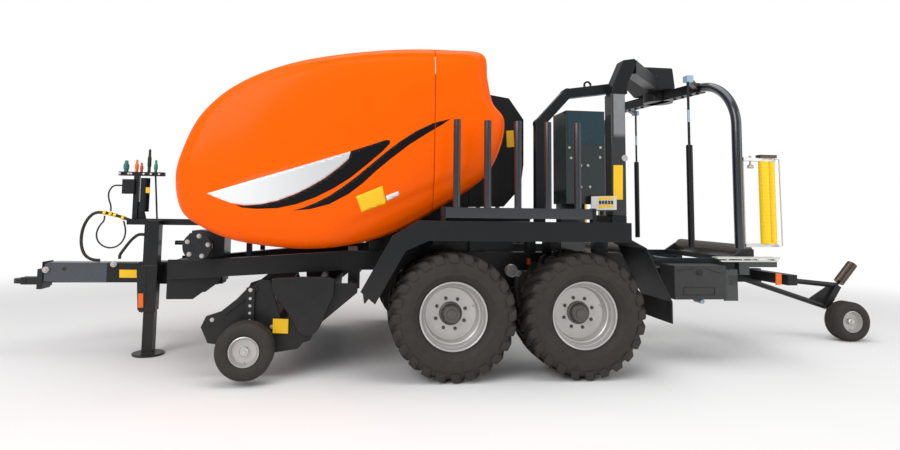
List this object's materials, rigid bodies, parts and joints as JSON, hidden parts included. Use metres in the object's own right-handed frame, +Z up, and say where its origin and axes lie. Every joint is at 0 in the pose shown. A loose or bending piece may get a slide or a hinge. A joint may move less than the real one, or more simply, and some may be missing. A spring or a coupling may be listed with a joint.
{
  "type": "bale wrapper",
  "caption": "Towed round baler with orange side hoods and a satellite bale wrapper behind it on a tandem axle: pickup, tailgate, film racks, overhead arms, tilting table and bale turner",
  "frame": {"origin": "centre of the machine's bounding box, on the ground", "axes": "-X is the direction of travel, the hitch end; +Y is the machine's right side; +Z is up"},
  "size_m": [9.2196, 2.956, 3.02],
  "materials": {
    "painted_black": "satin black paint",
    "painted_grey": "satin dark grey paint",
    "painted_orange": "glossy orange paint",
    "painted_silver": "silver paint",
    "zinc": "zinc plated",
    "tyre": "matte rubber",
    "yellow_plastic": "yellow moulded sleeves",
    "black_plastic": "textured"
  },
  "bodies": {
    "chassis": {"hitch_eye": "painted_grey", "drawbar": "painted_black", "front_frame": "painted_black", "jack_sleeve": "painted_black", "tandem_axle": "painted_black", "fender_left": "painted_black", "fender_right": "painted_black", "bale_chamber": "painted_black", "rear_cover_left": "painted_orange", "rear_cover_right": "painted_orange", "roof_cover": "painted_orange", "main_gearbox": "painted_grey", "hose_post": "painted_black", "wrapper_tower": "painted_black", "rear_frame": "painted_black", "cabinet": "painted_black", "control_panel": "black_plastic", "toolbox": "black_plastic", "film_cutter": "zinc", "turner_bracket": "painted_black"},
    "jack": {"jack_leg": "zinc"},
    "wheel_front_left": {"rim_front_left": "painted_silver", "tyre_front_left": "tyre"},
    "wheel_front_right": {"rim_front_right": "painted_silver", "tyre_front_right": "tyre"},
    "wheel_rear_left": {"rim_rear_left": "painted_silver", "tyre_rear_left": "tyre"},
    "wheel_rear_right": {"rim_rear_right": "painted_silver", "tyre_rear_right": "tyre"},
    "rack_left": {"film_rack_left": "painted_black"},
    "side_hood_left": {"hood_left": "painted_orange"},
    "rack_right": {"film_rack_right": "painted_black"},
    "side_hood_right": {"hood_right": "painted_orange"},
    "rear_gate": {"tailgate": "painted_black"},
    "pickup": {"pickup_frame": "painted_black", "wind_guard": "painted_black"},
    "reel": {"pickup_reel": "zinc"},
    "gauge_left": {"gauge_wheel_left": "tyre"},
    "gauge_right": {"gauge_wheel_right": "tyre"},
    "satellite": {"satellite_arms": "painted_black", "film_unit_left": "zinc", "film_unit_right": "zinc", "film_rollers_left": "yellow_plastic", "film_rollers_right": "yellow_plastic"},
    "table": {"table_frame": "painted_grey"},
    "roller_front": {"table_roller_front": "painted_grey"},
    "roller_rear": {"table_roller_rear": "painted_grey"},
    "turner": {"turner_frame": "painted_black"},
    "turner_roller_body": {"turner_roller": "painted_grey"},
    "turner_wheel_body": {"turner_wheel": "tyre"}
  },
  "joints": [
    {"name": "jack_slide", "type": "slide", "parent": "chassis", "child": "jack", "axis": [0, 0, 1], "range_m": [0, 0.3]},
    {"name": "wheel_front_left_spin", "type": "hinge", "parent": "chassis", "child": "wheel_front_left", "pos_m": [-0.47, -1.19, 0.535], "axis": [0, 1, 0], "continuous": true},
    {"name": "wheel_front_right_spin", "type": "hinge", "parent": "chassis", "child": "wheel_front_right", "pos_m": [-0.47, 1.19, 0.535], "axis": [0, 1, 0], "continuous": true},
    {"name": "wheel_rear_left_spin", "type": "hinge", "parent": "chassis", "child": "wheel_rear_left", "pos_m": [0.67, -1.19, 0.535], "axis": [0, 1, 0], "continuous": true},
    {"name": "wheel_rear_right_spin", "type": "hinge", "parent": "chassis", "child": "wheel_rear_right", "pos_m": [0.67, 1.19, 0.535], "axis": [0, 1, 0], "continuous": true},
    {"name": "film_rack_left_fold", "type": "hinge", "parent": "chassis", "child": "rack_left", "pos_m": [0.08, -1.425, 1.4], "axis": [1, 0, 0], "range_deg": [0, 95]},
    {"name": "hood_left_lift", "type": "hinge", "parent": "chassis", "child": "side_hood_left", "pos_m": [-1.7, -0.7905, 2.90736], "axis": [-1, 0, 0], "range_deg": [0, 65]},
    {"name": "film_rack_right_fold", "type": "hinge", "parent": "chassis", "child": "rack_right", "pos_m": [0.08, 1.425, 1.4], "axis": [-1, 0, 0], "range_deg": [0, 95]},
    {"name": "hood_right_lift", "type": "hinge", "parent": "chassis", "child": "side_hood_right", "pos_m": [-1.7, 0.7905, 2.90736], "axis": [1, 0, 0], "range_deg": [0, 65]},
    {"name": "tailgate_lift", "type": "hinge", "parent": "chassis", "child": "rear_gate", "pos_m": [-0.45, 0, 2.68], "axis": [0, -1, 0], "range_deg": [0, 60]},
    {"name": "pickup_lift", "type": "hinge", "parent": "chassis", "child": "pickup", "pos_m": [-1.3, 0, 0.74], "axis": [0, 1, 0], "range_deg": [-1, 8]},
    {"name": "pickup_reel_spin", "type": "hinge", "parent": "pickup", "child": "reel", "pos_m": [-2.02, 0, 0.43], "axis": [0, 1, 0], "continuous": true},
    {"name": "gauge_wheel_left_spin", "type": "hinge", "parent": "pickup", "child": "gauge_left", "pos_m": [-2.16, -1.355, 0.275], "axis": [0, 1, 0], "continuous": true},
    {"name": "gauge_wheel_right_spin", "type": "hinge", "parent": "pickup", "child": "gauge_right", "pos_m": [-2.16, 1.355, 0.275], "axis": [0, 1, 0], "continuous": true},
    {"name": "satellite_spin", "type": "hinge", "parent": "chassis", "child": "satellite", "pos_m": [2.12, 0, 2.72], "axis": [0, 0, 1], "continuous": true},
    {"name": "table_tip", "type": "hinge", "parent": "chassis", "child": "table", "pos_m": [2.55, 0, 0.875], "axis": [0, 1, 0], "range_deg": [0, 20]},
    {"name": "table_roller_front_spin", "type": "hinge", "parent": "table", "child": "roller_front", "pos_m": [1.52, 0, 1.03], "axis": [0, 1, 0], "continuous": true},
    {"name": "table_roller_rear_spin", "type": "hinge", "parent": "table", "child": "roller_rear", "pos_m": [2.72, 0, 1.03], "axis": [0, 1, 0], "continuous": true},
    {"name": "turner_lift", "type": "hinge", "parent": "chassis", "child": "turner", "pos_m": [3.1, 0, 0.72], "axis": [0, -1, 0], "range_deg": [0, 40]},
    {"name": "turner_roller_spin", "type": "hinge", "parent": "turner", "child": "turner_roller_body", "pos_m": [4.38309, 0.1, 0.63749], "axis": [0.6617, 0, 0.7497], "continuous": true},
    {"name": "turner_wheel_spin", "type": "hinge", "parent": "turner", "child": "turner_wheel_body", "pos_m": [4.33, -0.055, 0.22], "axis": [0, 1, 0], "continuous": true}
  ]
}
